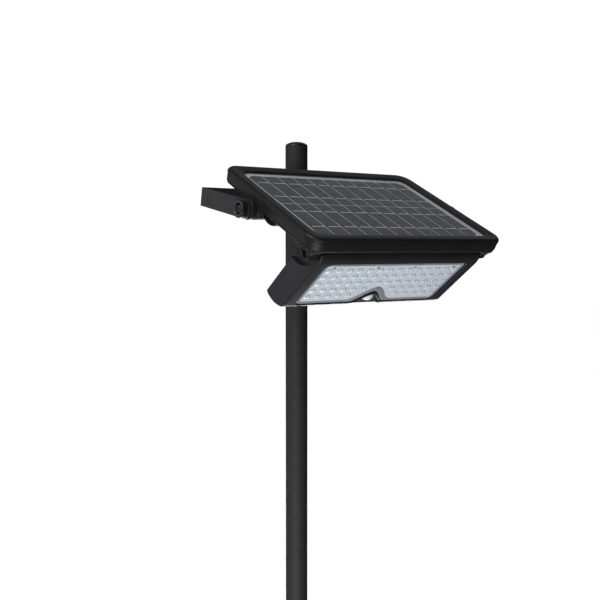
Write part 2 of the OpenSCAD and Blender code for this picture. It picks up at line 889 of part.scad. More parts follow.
module lens_screws() {
    color([0.3, 0.3, 0.32])
    at_light() for (p = lens_screws_xy)
        translate([p[0], p[1], lens_z - 1]) screw(screw_r, 9, 3, 2);
}

module led_board() {
    color([0.85, 0.86, 0.86])
    at_light() translate([0, 0, board_z]) linear_extrude(board_t) difference() {
        translate([0, lens_mid]) rrect(lens_w - 20, lens_l - 28, 4);
        bay_outline(5);
        for (p = lens_screws_xy)
            translate(p) circle(4.5);
    }
}

module led_chips() {
    color([0.9, 0.85, 0.5])
    at_light() at_lenslets() translate([0, 0, board_z - 0.4]) cube([3.5, 3.5, 0.8], center = true);
}

module heat_plate() {
    color([0.75, 0.76, 0.78])
    at_light() translate([0, 0, board_z + board_t]) linear_extrude(plate_t) difference() {
        translate([0, lens_mid]) rrect(lens_w - 20, lens_l - 28, 4);
        bay_outline(5);
        for (p = lens_screws_xy)
            translate(p) circle(4.5);
    }
}

module pir_dome() {
    seat = scoop_z + 2.5;
    color([0.9, 0.9, 0.92])
    at_light() difference() {
        union() {
            intersection() {
                translate([0, pir_y, pir_z]) sphere(pir_r);
                translate([0, pir_y, pir_z - pir_r]) cylinder(r = pir_r, h = seat - pir_z + pir_r);
            }
            translate([0, pir_y, seat]) cylinder(r = pir_r + 2, h = 1.5);
        }
        translate([0, pir_y, pir_z]) sphere(pir_r - 1.2);
        translate([0, pir_y, seat - 2]) cylinder(r = 10, h = 5);
    }
}

module pir_board() {
    color([0.1, 0.35, 0.2])
    at_light() translate([0, pir_y, scoop_z + 4.1]) {
        cylinder(r = pir_r + 1, h = 1.6);
        translate([0, 0, -6]) cylinder(r = 4.6, h = 6);
    }
}

module power_button() {
    color([0.1, 0.1, 0.1])
    at_head() translate([button_x, button_u, -head_t - 1.9]) {
        cylinder(r = button_r - 2, h = 9);
    }
}

module button_boot() {
    color([0.08, 0.08, 0.08])
    at_head() translate([button_x, button_u, -head_t]) difference() {
        cylinder(r = button_r + 1.85, h = 2.9);
        translate([0, 0, -eps]) cylinder(r = button_r - 1.9, h = 4);
    }
}

base_flange();
base_box();
neck_casting();
neck_screws();
pole_tube();
pole_cap();
anchor_studs();
anchor_washers();
anchor_nuts();
pole_saddle();
clamp_u_bolts();
clamp_washers();
clamp_nuts();
yoke();
yoke_bolts();
yoke_nuts();
panel_bezel();
panel_gasket();
panel_glass();
solar_cells();
cell_ribbons();
cell_backsheet();
panel_housing();
housing_screws();
battery_cover();
cover_screws();
battery_cells();
battery_holder();
controller_board();
controller_parts();
pivot_washers();
pivot_knobs();
pivot_bolts();
hinge_pins();
light_housing();
lens_cover();
lens_gasket();
lens_screws();
led_board();
led_chips();
heat_plate();
pir_dome();
pir_board();
power_button();
button_boot();
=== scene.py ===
import json
import math

import bmesh
import bpy
from mathutils import Matrix, Vector


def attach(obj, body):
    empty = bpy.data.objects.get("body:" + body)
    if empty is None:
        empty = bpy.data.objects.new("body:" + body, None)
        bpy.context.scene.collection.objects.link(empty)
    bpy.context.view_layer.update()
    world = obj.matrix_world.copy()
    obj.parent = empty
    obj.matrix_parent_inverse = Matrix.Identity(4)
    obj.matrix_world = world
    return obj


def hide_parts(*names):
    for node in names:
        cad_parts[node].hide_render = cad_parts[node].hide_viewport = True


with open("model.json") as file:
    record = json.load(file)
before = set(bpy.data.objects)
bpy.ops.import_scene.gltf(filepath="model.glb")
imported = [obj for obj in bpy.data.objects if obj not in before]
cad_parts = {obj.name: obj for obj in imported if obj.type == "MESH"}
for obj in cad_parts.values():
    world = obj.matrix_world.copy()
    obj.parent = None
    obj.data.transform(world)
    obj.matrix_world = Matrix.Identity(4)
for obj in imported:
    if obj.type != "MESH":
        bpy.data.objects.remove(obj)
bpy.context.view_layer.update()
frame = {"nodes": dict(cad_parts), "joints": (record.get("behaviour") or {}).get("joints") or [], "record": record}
joints = {j["name"]: j for j in frame["joints"]}
slots = {s["node"]: s["material_slot"] for s in frame["record"]["subparts"]}
body_of_node = {n: b for b, ns in frame["record"]["behaviour"]["bodies"].items() for n in ns}

# ---------------------------------------------------------------- frames
# Each part of the lamp is drawn in millimetres in its own frame, turned from the root's about X.
# Root: z up, the post's axis at x = y = 0. Head: y up the panel from the window's front edge, z out of its face.
# Light: y from its hinge towards its far end, z out of its back. Angles are in degrees.
MM = Matrix.Scale(0.001, 4)
PANEL_TILT = 25.9
LIGHT_PITCH = 35.5
# where the light's hinge and the head's pivot lie: up the panel, and below its face
HINGE_U, HINGE_D = 7.0, 45.0
PIVOT_U, PIVOT_D = 169.8, 32.0


def at_joint(name, degrees):
    origin = Vector(joints[name]["pos_m"])
    return Matrix.Translation(origin) @ Matrix.Rotation(math.radians(degrees), 4, "X") @ MM


ROOT = MM
HEAD = at_joint("light_fold", PANEL_TILT) @ Matrix.Translation((0, -HINGE_U, HINGE_D))
LIGHT = at_joint("light_fold", -LIGHT_PITCH)

# ---------------------------------------------------------------- sizes, mm
# letters at the end: W across, L or H along, T thick, R radius, X Y Z a place
SIDES = ((1, "X"), (-1, "-X"))  # the sign of x, and the axis that points outwards there
CAP_Z = 3010.0
BEZEL_W, BEZEL_L, BEZEL_T, BEZEL_R = 464.0, 339.0, 9.0, 30.0
WINDOW_W, WINDOW_L, WINDOW_R = 413.0, 288.0, 20.0
MID = WINDOW_L / 2
LIP_T = 4.0
GLASS_TOP, GLASS_T = 4.5, 3.2
CELL_COLS, CELL_ROWS, CELL_PITCH, CELL_GAP, ROW_L = 11, 2, 35.7, 1.8, 132.0
CELL_SNIP, RIBBON_W, RIBBON_START = 10.0, 1.8, 6.5
HEAD_T = 31.0
COVER_Y, COVER_W, COVER_L, COVER_R = 201.0, 400.0, 178.0, 20.0
TROUGH_R, TROUGH_END = 20.5, 194.3
RECESS_X, RECESS_R = 208.0, 7.0
WEB_X, WEB_Y, WEB_Z, WEB_R = 206.0, 132.0, -7.0, 38.0
EAR_BOSS_X, PIVOT_BOSS_X, KNOB_X = 184.5, 205.0, 255.5
BUTTON_X, BUTTON_Y = 120.0, 75.0
RIM_Z, BARREL_R, LIGHT_W = -19.8, 19.0, 388.0
HEEL_Y, HEEL_Z, HEEL_R = 99.5, 38.5, 72.0
DISH_X, DISH_Y, DISH_Z, DISH_R = 183.5, -4.7, 58.1, 70.5
PIN_START, PIN_HOLE_R = 169.0, 4.1
LENS_Y, LENS_L, LENS_W, LENS_R = 5.5, 132.5, 343.0, 14.0
LENS_Z, LENS_T, LENS_BAND = -16.3, 2.5, 8.4
LENS_MID, LENS_END = LENS_Y + LENS_L / 2, LENS_Y + LENS_L
LENS_SCREWS = [(-146.0, 20.4), (-45.0, 20.4), (45.0, 20.4), (146.0, 20.4), (0.0, 89.0)]
LED_COLS, LED_ROWS, LED_PX, LED_PY = 14, 5, 23.8, 21.2
LOBE_X, LOBE_Y, LOBE_H = 8.2, 6.8, 3.4
BAY_W, BAY_H, BAY_LIP = 87.0, 35.0, 7.1
PIR_Y, PIR_Z, PIR_R = 124.5, -6.3, 13.7


# ---------------------------------------------------------------- materials
class Look:
    """A principled material whose colour, roughness and bump come from layered noise."""

    def __init__(self, name, colour, rough, metallic=0.0, **sockets):
        self.mat = bpy.data.materials.new(name)
        self.mat.use_nodes = True
        self.tree = self.mat.node_tree
        self.bsdf = self.tree.nodes["Principled BSDF"]
        self.out = self.tree.nodes["Material Output"]
        self.bsdf.inputs["Base Color"].default_value = (*colour, 1)
        self.bsdf.inputs["Roughness"].default_value = rough
        self.bsdf.inputs["Metallic"].default_value = metallic
        for key, value in sockets.items():
            self.bsdf.inputs[key.replace("_", " ")].default_value = value
        self.colour, self.rough, self.normal = colour, rough, None
        self.coords = self.tree.nodes.new("ShaderNodeTexCoord").outputs["Object"]

    def node(self, kind, **props):
        n = self.tree.nodes.new(kind)
        for key, value in props.items():
            setattr(n, key, value)
        return n

    def noise(self, scale, detail, stretch=None):
        n = self.node("ShaderNodeTexNoise")
        n.inputs["Scale"].default_value = scale
        n.inputs["Detail"].default_value = detail
        n.inputs["Roughness"].default_value = 0.55
        source = self.coords
        if stretch:
            m = self.node("ShaderNodeMapping")
            m.inputs["Scale"].default_value = stretch
            self.tree.links.new(source, m.inputs["Vector"])
            source = m.outputs["Vector"]
        self.tree.links.new(source, n.inputs["Vector"])
        return n.outputs["Fac"]

    def spread(self, source, low, high, lo_in=0.3, hi_in=0.7):
        n = self.node("ShaderNodeMapRange")
        n.inputs["From Min"].default_value = lo_in
        n.inputs["From Max"].default_value = hi_in
        n.inputs["To Min"].default_value = low
        n.inputs["To Max"].default_value = high
        self.tree.links.new(source, n.inputs["Value"])
        return n.outputs["Result"]

    def bump(self, source, strength, distance):
        n = self.node("ShaderNodeBump")
        n.inputs["Strength"].default_value = strength
        n.inputs["Distance"].default_value = distance
        self.tree.links.new(source, n.inputs["Height"])
        if self.normal:
            self.tree.links.new(self.normal, n.inputs["Normal"])
        self.normal = n.outputs["Normal"]
        self.tree.links.new(self.normal, self.bsdf.inputs["Normal"])

    def vary_rough(self, source, amount):
        value = self.spread(source, self.rough - amount, self.rough + amount)
        self.tree.links.new(value, self.bsdf.inputs["Roughness"])

    def vary_colour(self, source, darker, lighter):
        ramp = self.node("ShaderNodeValToRGB")
        stops = ramp.color_ramp.elements
        stops[0].position, stops[1].position = 0.3, 0.7
        stops[0].color = (*[c * darker for c in self.colour], 1)
        stops[1].color = (*[min(1, c * lighter) for c in self.colour], 1)
        self.tree.links.new(source, ramp.inputs["Fac"])
        self.tree.links.new(ramp.outputs["Color"], self.bsdf.inputs["Base Color"])
        self.tinted = ramp.outputs["Color"]

    def worn_edges(self, colour, amount):
        """Convex edges rub a little lighter, broken up by noise."""
        geometry = self.node("ShaderNodeNewGeometry")
        edge = self.spread(geometry.outputs["Pointiness"], 0, 1, 0.53, 0.62)
        grain = self.spread(self.noise(90, 4), 0, amount, 0.42, 0.68)
        both = self.node("ShaderNodeMath", operation="MULTIPLY")
        self.tree.links.new(edge, both.inputs[0])
        self.tree.links.new(grain, both.inputs[1])
        mix = self.node("ShaderNodeMix", data_type="RGBA")
        self.tree.links.new(both.outputs[0], mix.inputs["Factor"])
        self.tree.links.new(self.tinted, mix.inputs["A"])
        mix.inputs["B"].default_value = (*colour, 1)
        self.tree.links.new(mix.outputs["Result"], self.bsdf.inputs["Base Color"])


def powder(name, colour, rough):
    look = Look(name, colour, rough, Specular_IOR_Level=0.25)
    look.vary_colour(look.noise(8, 4), 0.95, 1.06)
    look.vary_rough(look.noise(60, 4), 0.035)
    look.bump(look.noise(700, 2), 0.14, 0.0004)
    look.worn_edges([min(1, c * 2.2) for c in colour], 0.35)
    return look.mat


def moulded(name, colour, rough, grain=1500, depth=0.12, shine=0.45):
    look = Look(name, colour, rough, Specular_IOR_Level=shine)
    look.vary_colour(look.noise(9, 4), 0.94, 1.07)
    look.vary_rough(look.noise(34, 5), 0.03)
    look.bump(look.noise(grain, 2), depth, 0.0003)
    look.worn_edges([min(1, c * 2.0) for c in colour], 0.3)
    return look.mat


def zinc(name, colour, rough):
    look = Look(name, colour, rough, 1.0)
    look.vary_colour(look.noise(160, 4), 0.72, 1.12)
    look.vary_rough(look.noise(240, 4), 0.1)
    look.bump(look.noise(900, 2, stretch=(1, 1, 0.2)), 0.12, 0.0003)
    return look.mat


def board(name, colour):
    look = Look(name, colour, 0.38, Coat_Weight=0.3)
    look.vary_colour(look.noise(60, 3), 0.8, 1.15)
    look.vary_rough(look.noise(180, 3), 0.08)
    look.bump(look.noise(420, 1), 0.1, 0.0003)
    return look.mat


def wafer():
    """Mono cells: near-black silicon, crossed by fine silver fingers."""
    look = Look("silicon", (0.042, 0.042, 0.045), 0.45, Specular_IOR_Level=0.15)
    look.vary_colour(look.noise(14, 3), 0.92, 1.08)
    look.vary_rough(look.noise(60, 3), 0.08)
    fingers = look.node("ShaderNodeTexWave", bands_direction="Y")
    fingers.inputs["Scale"].default_value = 140
    look.tree.links.new(look.coords, fingers.inputs["Vector"])
    thin = look.spread(fingers.outputs["Fac"], 0, 0.05, 0.82, 1.0)
    mix = look.node("ShaderNodeMix", data_type="RGBA")
    look.tree.links.new(thin, mix.inputs["Factor"])
    look.tree.links.new(look.tinted, mix.inputs["A"])
    mix.inputs["B"].default_value = (0.35, 0.35, 0.37, 1)
    look.tree.links.new(mix.outputs["Result"], look.bsdf.inputs["Base Color"])
    return look.mat


def pane():
    """Solar glass: clear, its surface rolled with a fine grain that spreads reflections."""
    look = Look("solar_glass", (0.9, 0.92, 0.95), 0.3)
    look.bump(look.noise(1600, 2), 0.05, 0.0002)
    clear = look.node("ShaderNodeBsdfTransparent")
    clear.inputs["Color"].default_value = (0.95, 0.96, 0.97, 1)
    gloss = look.node("ShaderNodeBsdfAnisotropic")
    gloss.inputs["Color"].default_value = (0.9, 0.91, 0.93, 1)
    look.tree.links.new(look.normal, gloss.inputs["Normal"])
    look.tree.links.new(look.spread(look.noise(22, 4), 0.26, 0.32), gloss.inputs["Roughness"])
    rim = look.node("ShaderNodeFresnel")
    rim.inputs["IOR"].default_value = 1.3
    geometry = look.node("ShaderNodeNewGeometry")
    front = look.node("ShaderNodeMath", operation="SUBTRACT")
    front.inputs[0].default_value = 1.0
    look.tree.links.new(geometry.outputs["Backfacing"], front.inputs[1])
    share = look.node("ShaderNodeMath", operation="MULTIPLY")
    look.tree.links.new(rim.outputs["Fac"], share.inputs[0])
    look.tree.links.new(front.outputs[0], share.inputs[1])
    mix = look.node("ShaderNodeMixShader")
    look.tree.links.new(share.outputs[0], mix.inputs["Fac"])
    look.tree.links.new(clear.outputs["BSDF"], mix.inputs[1])
    look.tree.links.new(gloss.outputs["BSDF"], mix.inputs[2])
    look.tree.links.new(mix.outputs["Shader"], look.out.inputs["Surface"])
    return look.mat


def lens():
    """Clear polycarbonate over a white board: pale blue grey. Its lenslets' steep sides are darkened with painted
    shade, standing in for the dark crescents that refraction makes.
    """
    look = Look("lens_clear", (0.68, 0.75, 0.82), 0.1, IOR=1.5)
    look.vary_colour(look.noise(30, 3), 0.97, 1.03)
    # painted shade: where a lenslet's face turns away from the lens's normal, its colour is mixed towards a dark
    # grey blue
    coords = look.node("ShaderNodeTexCoord")
    facing = look.node("ShaderNodeVectorMath", operation="DOT_PRODUCT")
    a = math.radians(LIGHT_PITCH)
    facing.inputs[1].default_value = (0, -math.sin(a), -math.cos(a))
    look.tree.links.new(coords.outputs["Normal"], facing.inputs[0])
    crescent_shade = look.spread(facing.outputs["Value"], 0.72, 0, 0.6, 0.97)
    mix = look.node("ShaderNodeMix", data_type="RGBA")
    look.tree.links.new(crescent_shade, mix.inputs["Factor"])
    look.tree.links.new(look.tinted, mix.inputs["A"])
    mix.inputs["B"].default_value = (0.2, 0.23, 0.27, 1)
    look.tree.links.new(mix.outputs["Result"], look.bsdf.inputs["Base Color"])
    look.vary_rough(look.noise(90, 3), 0.03)
    look.bump(look.noise(260, 2), 0.03, 0.0002)
    return look.mat


def milk():
    look = Look("pir_white", (0.8, 0.81, 0.85), 0.35)
    look.vary_colour(look.noise(120, 3), 0.96, 1.03)
    look.vary_rough(look.noise(200, 3), 0.05)
    cells = look.node("ShaderNodeTexVoronoi")
    cells.inputs["Scale"].default_value = 230
    look.tree.links.new(look.coords, cells.inputs["Vector"])
    look.bump(cells.outputs["Distance"], 0.25, 0.0008)
    return look.mat


LOOKS = {
    "powder_coat": powder("powder_coat", (0.019, 0.019, 0.019), 0.62),
    "cast_black": powder("cast_black", (0.028, 0.028, 0.029), 0.46),
    "strap_black": powder("strap_black", (0.022, 0.022, 0.024), 0.5),
    "abs_black": moulded("abs_black", (0.011, 0.011, 0.0115), 0.44, shine=0.22),
    "abs_slate": moulded("abs_slate", (0.012, 0.012, 0.0155), 0.5, shine=0.35),
    "knob_black": moulded("knob_black", (0.007, 0.007, 0.008), 0.36, 900, 0.08),
    # painted shade: a near-black laid on hollows and undersides that sit in shadow
    "painted_shade_black": moulded("painted_shade_black", (0.002, 0.002, 0.002), 0.6, shine=0.1),
    "zinc": zinc("zinc", (0.2, 0.2, 0.205), 0.42),
    "ribbon": moulded("ribbon", (0.85, 0.85, 0.87), 0.4, 800, 0.04),
    "alloy": zinc("alloy", (0.7, 0.71, 0.72), 0.35),
    "solar_glass": pane(),
    "silicon": wafer(),
    "backsheet": moulded("backsheet", (0.6, 0.6, 0.65), 0.5, 700, 0.04),
    "seal_rubber": moulded("seal_rubber", (0.01, 0.01, 0.01), 0.7, 600, 0.2),
    "lens_clear": lens(),
    "lens_band": moulded("lens_band", (0.29, 0.31, 0.35), 0.2, 500, 0.03),
    "pir_white": milk(),
    "pcb_white": board("pcb_white", (0.75, 0.76, 0.76)),
    "pcb_green": board("pcb_green", (0.03, 0.12, 0.05)),
    "chip": board("chip", (0.75, 0.6, 0.2)),
    "cell_wrap": board("cell_wrap", (0.04, 0.13, 0.38)),
}


# ---------------------------------------------------------------- mesh tools
def rounded(cx, cy, w, l, r, z, steps=10):
    """Points round a rounded rectangle, counterclockwise."""
    points = []
    for quarter, (sx, sy) in enumerate([(1, 1), (-1, 1), (-1, -1), (1, -1)]):
        mx, my = cx + sx * (w / 2 - r), cy + sy * (l / 2 - r)
        for i in range(steps + 1):
            a = math.radians(90 * (quarter + i / steps))
            points.append(Vector((mx + r * math.cos(a), my + r * math.sin(a), z)))
    return points


def arc(cx, cy, r, a0, a1, steps):
    """Points along an arc from a0 to a1 degrees."""
    return [
        (cx + r * math.cos(math.radians(a0 + (a1 - a0) * i / steps)),
         cy + r * math.sin(math.radians(a0 + (a1 - a0) * i / steps)))
        for i in range(steps + 1)
    ]


class Part:
    """One piece being modelled, in millimetres, in one of the lamp's frames."""

    def __init__(self, *nodes, at=ROOT, name=None):
        self.nodes, self.at, self.bm = nodes, at, bmesh.new()
        self.name = name or nodes[0] + "_piece"

    def loft(self, loops, closed=False, place=Matrix()):
        """Joins loops of equal length by faces, capped at both ends or closed into a ring."""
        rings = [[self.bm.verts.new(place @ Vector(p)) for p in loop] for loop in loops]
        pairs = list(zip(rings, rings[1:]))
        if closed:
            pairs.append((rings[-1], rings[0]))
        for a, b in pairs:
            for i in range(len(a)):
                j = (i + 1) % len(a)
                self.bm.faces.new((a[i], a[j], b[j], b[i]))
        if not closed:
            self.bm.faces.new(list(reversed(rings[0])))
            self.bm.faces.new(rings[-1])
        return self

    def lathe(self, profile, place=Matrix(), steps=72, closed=False):
        """Turns (radius, height) points about the z axis of place."""
        loops = [
            [(r * math.cos(2 * math.pi * i / steps), r * math.sin(2 * math.pi * i / steps), h)
             for i in range(steps)]
            for r, h in profile
        ]
        return self.loft(loops, closed, place)

    def slab(self, outline, z0, z1):
        return self.loft([[(x, y, z) for x, y in outline] for z in (z0, z1)])

    def done(self, paint=None, sharp=32, bevel=0, segments=3, cutters=()):
        """Makes the piece: cut, softened, painted and riding on its body. With no nodes it is a bare cutter."""
        bmesh.ops.recalc_face_normals(self.bm, faces=self.bm.faces)
        self.bm.transform(self.at)
        mesh = bpy.data.meshes.new(self.name)
        self.bm.to_mesh(mesh)
        self.bm.free()
        obj = bpy.data.objects.new(self.name, mesh)
        bpy.context.scene.collection.objects.link(obj)
        if not self.nodes:
            return obj
        cut(obj, cutters)
        soften(obj, sharp, bevel, segments)
        slot = slots[self.nodes[0]]
        obj.data.materials.clear()
        obj.data.materials.append(LOOKS[paint or slot])
        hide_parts(*self.nodes)
        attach(obj, body_of_node[self.nodes[0]])
        return obj


def cut(obj, cutters):
    """Takes the cutters out of obj for good, and deletes them."""
    for c in cutters:
        m = obj.modifiers.new("cut", "BOOLEAN")
        m.operation, m.solver, m.object = "DIFFERENCE", "EXACT", c
    if cutters:
        dg = bpy.context.evaluated_depsgraph_get()
        mesh = bpy.data.meshes.new_from_object(obj.evaluated_get(dg))
        obj.modifiers.clear()
        obj.data = mesh
        for c in cutters:
            bpy.data.objects.remove(c)


def soften(obj, sharp, bevel, segments):
    """Smooth shading, with edges over the sharp angle kept crisp or rounded by a bevel."""
    bm = bmesh.new()
    bm.from_mesh(obj.data)
    bmesh.ops.remove_doubles(bm, verts=bm.verts, dist=2e-6)
    for f in bm.faces:
        f.smooth = True
    for e in bm.edges:
        e.smooth = len(e.link_faces) == 2 and e.calc_face_angle(0) <= math.radians(sharp)
    bm.to_mesh(obj.data)
    bm.free()
    if bevel:
        m = obj.modifiers.new("edge", "BEVEL")
        m.width, m.segments, m.limit_method = bevel * 0.001, segments, "ANGLE"
        m.angle_limit = math.radians(sharp)
        m.use_clamp_overlap = True
        w = obj.modifiers.new("shade", "WEIGHTED_NORMAL")
        w.keep_sharp = False


def from_cad(node, bevel, sharp=28, segments=3, paint=None):
    """A piece with the CAD node's own shape, its edges rounded and its flat faces made whole."""
    bm = bmesh.new()
    bm.from_mesh(frame["nodes"][node].data)
    bmesh.ops.remove_doubles(bm, verts=bm.verts, dist=2e-6)
    bmesh.ops.dissolve_limit(
        bm, angle_limit=math.radians(0.6), verts=bm.verts, edges=bm.edges, delimit={"NORMAL"}
    )
    part = Part(node)
    part.bm.free()
    part.bm = bm
    part.at = Matrix()
    return part.done(paint, bevel=bevel, sharp=sharp, segments=segments)


def at(x, y, z, axis="Z"):
    """A place for a turned shape, its axis along Z, X or -X."""
    turn = {"Z": 0, "X": 90, "-X": -90}[axis]
    return Matrix.Translation((x, y, z)) @ Matrix.Rotation(math.radians(turn), 4, "Y")


# ---------------------------------------------------------------- the post
def neck_profile():
    """The casting's outline from the ring down: (half width, corner radius, height)."""
    lo, hi = 582.0, 609.0
    flare = []
    for i in range(13):
        t = i / 12
        half = 50 - 17.5 * math.sin(math.radians(90 * t)) ** 0.8
        flare.append((half, 13 + (half - 13) * min(1, t * 1.25), lo + (hi - lo) * t))
    return flare


def build_post():
    neck = Part("neck_casting")
    loops = [(49.2, 12.5, 561), (50, 13, 562), (50, 13, 579), (49.6, 12.8, 581.4)]
    loops += neck_profile()[1:]
    loops += [(31.4, 31.4, 610), (31.4, 31.4, 611.2), (32.5, 32.5, 612.4), (32.5, 32.5, 621)]
    loops += [(32.2, 32.2, 623), (31, 31, 624.6), (29.5, 29.5, 625), (24.1, 24.1, 625)]
    loops += [(24.1, 24.1, 578), (47.6, 10.2, 578), (47.6, 10.2, 561)]
    neck.loft([rounded(0, 0, 2 * h, 2 * h, min(r, h - 0.01), z, 14) for h, r, z in loops], closed=True)
    neck.done()

    cap = Part("pole_cap")
    cap.lathe([
        (0.01, 10), (5, 9.8), (10, 9.1), (15, 7.9), (19, 6.3), (21.6, 4.8), (23.2, 3.6), (23.9, 2.4), (24, 1.2),
        (23.9, 0.3), (23.2, 0), (20.9, 0), (20.9, -18), (0.01, -18),
    ], place=at(0, 0, CAP_Z))
    cap.done()
    from_cad("base_flange", 1.0)
    from_cad("base_box", 0.8)
    for node in ("anchor_nuts", "anchor_washers", "anchor_studs"):
        from_cad(node, 0.6)


# ---------------------------------------------------------------- the solar head
def build_bezel():
    """The bezel's section, carried round: its rounded rim, the slope down to the window, the glass's seat."""
    part = Part("panel_bezel", at=HEAD)
    loops = []

    def outer(inset, z):
        loops.append(rounded(0, MID, BEZEL_W - 2 * inset, BEZEL_L - 2 * inset, BEZEL_R - inset, z))

    def window(grow, z, r=WINDOW_R):
        loops.append(rounded(0, MID, WINDOW_W + 2 * grow, WINDOW_L + 2 * grow, r + min(grow, 1), z))

    outer(0.9, -BEZEL_T)
    outer(0.25, -BEZEL_T + 0.3)
    outer(0, -BEZEL_T + 0.9)
    for i in range(9):
        a = math.radians(i * 11.25)
        outer(6.5 * (1 - math.cos(a)), -6.5 * (1 - math.sin(a)))
    outer(9.5, -0.05)
    outer(14, -0.5)
    outer(19, -1.3)
    window(2.6, -2.0)
    window(1.2, -2.4)
    window(0.3, -3.0)
    window(0, -LIP_T)
    window(3.5, -LIP_T, 8)
    window(3.5, -BEZEL_T, 8)
    part.loft(loops, closed=True)
    part.done()


def build_cells():
    glass = Part("panel_glass", at=HEAD)
    w, l = WINDOW_W + 6, WINDOW_L + 6
    glass.loft([
        rounded(0, MID, w - g, l - g, 8, z)
        for g, z in [(0.8, -GLASS_TOP - GLASS_T), (0, -GLASS_TOP - GLASS_T + 0.4), (0, -GLASS_TOP - 0.4),
                     (0.8, -GLASS_TOP)]
    ])
    glass.done()

    cells, ribbons = Part("solar_cells", at=HEAD), Part("cell_ribbons", at=HEAD)
    top = -GLASS_TOP - GLASS_T
    hw, hl = (CELL_PITCH - CELL_GAP) / 2, ROW_L / 2
    for i in range(CELL_COLS):
        for j in range(CELL_ROWS):
            x = (i - (CELL_COLS - 1) / 2) * CELL_PITCH
            y = MID + (j - (CELL_ROWS - 1) / 2) * (ROW_L + CELL_GAP)
            outline = []
            for sx, sy in [(1, 1), (-1, 1), (-1, -1), (1, -1)]:
                outer_x = i == (CELL_COLS - 1 if sx > 0 else 0)
                outer_y = j == (CELL_ROWS - 1 if sy > 0 else 0)
                c = CELL_SNIP if outer_x and outer_y else 0.6
                first, second = (x + sx * hw, y + sy * (hl - c)), (x + sx * (hw - c), y + sy * hl)
                outline += [first, second] if sx * sy > 0 else [second, first]
            cells.slab(outline, top - 0.2, top - 0.05)
            for s in (-1, 1):
                x0, x1, mid = x - hw + RIBBON_START, x + hw, y + s * ROW_L / 4
                y0, y1 = mid - RIBBON_W / 2, mid + RIBBON_W / 2
                ribbons.slab([(x0, y0), (x1, y0), (x1, y1), (x0, y1)], top - 0.1, top - 0.02)
    cells.done()
    ribbons.done()


def housing_loop(t, z, grow):
    """The housing's outline, t from 0 at the parting line to 1 at the floor, moved out by grow."""
    half = BEZEL_W / 2 - 1 - t + grow
    front, back = MID - BEZEL_L / 2 + 1 + t - grow, MID + BEZEL_L / 2 - 1 - t + grow
    return rounded(0, (front + back) / 2, 2 * half, back - front, 29 + grow - t, z)


def lathe_cutter(frame_at, profile, place, steps=72):
    """A turned shape to take out of a piece."""
    cutter = Part(at=frame_at, name="cutter")
    cutter.lathe(profile, place=place, steps=steps)
    return cutter.done()


def loft_cutter(frame_at, loops):
    cutter = Part(at=frame_at, name="cutter")
    cutter.loft(loops)
    return cutter.done()


def build_housing():
    part = Part("panel_housing", at=HEAD)
    wall = HEAD_T - BEZEL_T - 11.2
    loops = [housing_loop(1, -HEAD_T + 2.5, -2.5), housing_loop(0, -BEZEL_T - 0.1, -2.5)]
    loops += [housing_loop(0, -BEZEL_T - 0.1, -0.9), housing_loop(0, -BEZEL_T - 0.4, -0.3)]
    loops += [housing_loop(0, -BEZEL_T - 1.2, 0)]
    for i in range(1, 9):
        t = i / 8
        loops.append(housing_loop(t, -BEZEL_T - 1.2 - t * wall, 0))
    for a in range(15, 91, 15):
        c, s = math.cos(math.radians(a)), math.sin(math.radians(a))
        loops.append(housing_loop(1, -HEAD_T + 10 - 10 * s, -9 * (1 - c)))
    part.loft(loops)
    trough = lathe_cutter(
        HEAD, [(TROUGH_R, 0), (TROUGH_R, 2 * TROUGH_END)], at(-TROUGH_END, HINGE_U, -HINGE_D, "X")
    )
    well = loft_cutter(
        HEAD, [rounded(0, COVER_Y, COVER_W - 6, COVER_L - 6, COVER_R - 3, z) for z in (-HEAD_T - 1, -12)]
    )
    button_hole = lathe_cutter(
        HEAD, [(7.9, 0), (7.9, 4), (4.1, 4), (4.1, 12)], at(BUTTON_X, BUTTON_Y, -HEAD_T - 1)
    )
    part.done(cutters=[trough, well, button_hole], bevel=0.5)
    build_ears()
    build_webs_and_bosses()
    build_cover()


def recess_outline(gap):
    """The teardrop recess in an ear's outer face, moved in by gap."""
    circle = arc(HINGE_U, -HINGE_D, RECESS_R - gap, 107, 343, 20)
    return circle + [(HINGE_U + 14 - 2 * gap, 5.5 - gap - HINGE_D)]


def build_ears():
    ears = Part("panel_housing", at=HEAD, name="housing_ears")
    outline = arc(HINGE_U, -HINGE_D, 10, 180, 296, 16)
    outline += [(22, -48), (34, -43), (46, -38.8), (58, -35.2), (72, -31.8), (78, -26)]
    outline += [(-19, -26), (-17, -31), (-9, -37.5)]
    for s in (-1, 1):
        loops = []
        for x, g in [(194.6, 1.2), (195.2, 0.3), (196.5, 0), (212, 0), (214.9, 0.6), (216.5, 1.8), (217, 3.4)]:
            k = 1 - g / 30
            loops.append([
                (s * x, HINGE_U + (u - HINGE_U) * k, -HINGE_D + (d + HINGE_D) * k) for u, d in outline
            ])
        ears.loft(loops)
    recesses = [
        loft_cutter(HEAD, [[(x, u, d) for u, d in recess_outline(0)] for x in ends])
        for ends in ((RECESS_X, RECESS_X + 16), (-RECESS_X - 16, -RECESS_X))
    ]
    ears.done(cutters=recesses, bevel=0.5)
    # a thin sheet on the floor of each ear's recess, painted near-black: painted shade for the recess's depth
    recess_shade = Part("panel_housing", at=HEAD, name="ear_recess_shade")
    shade_outline = recess_outline(0.05)
    for s in (-1, 1):
        recess_shade.loft([[(s * x, u, d) for u, d in shade_outline] for x in (RECESS_X + 0.1, RECESS_X + 0.4)])
    recess_shade.done(paint="painted_shade_black")


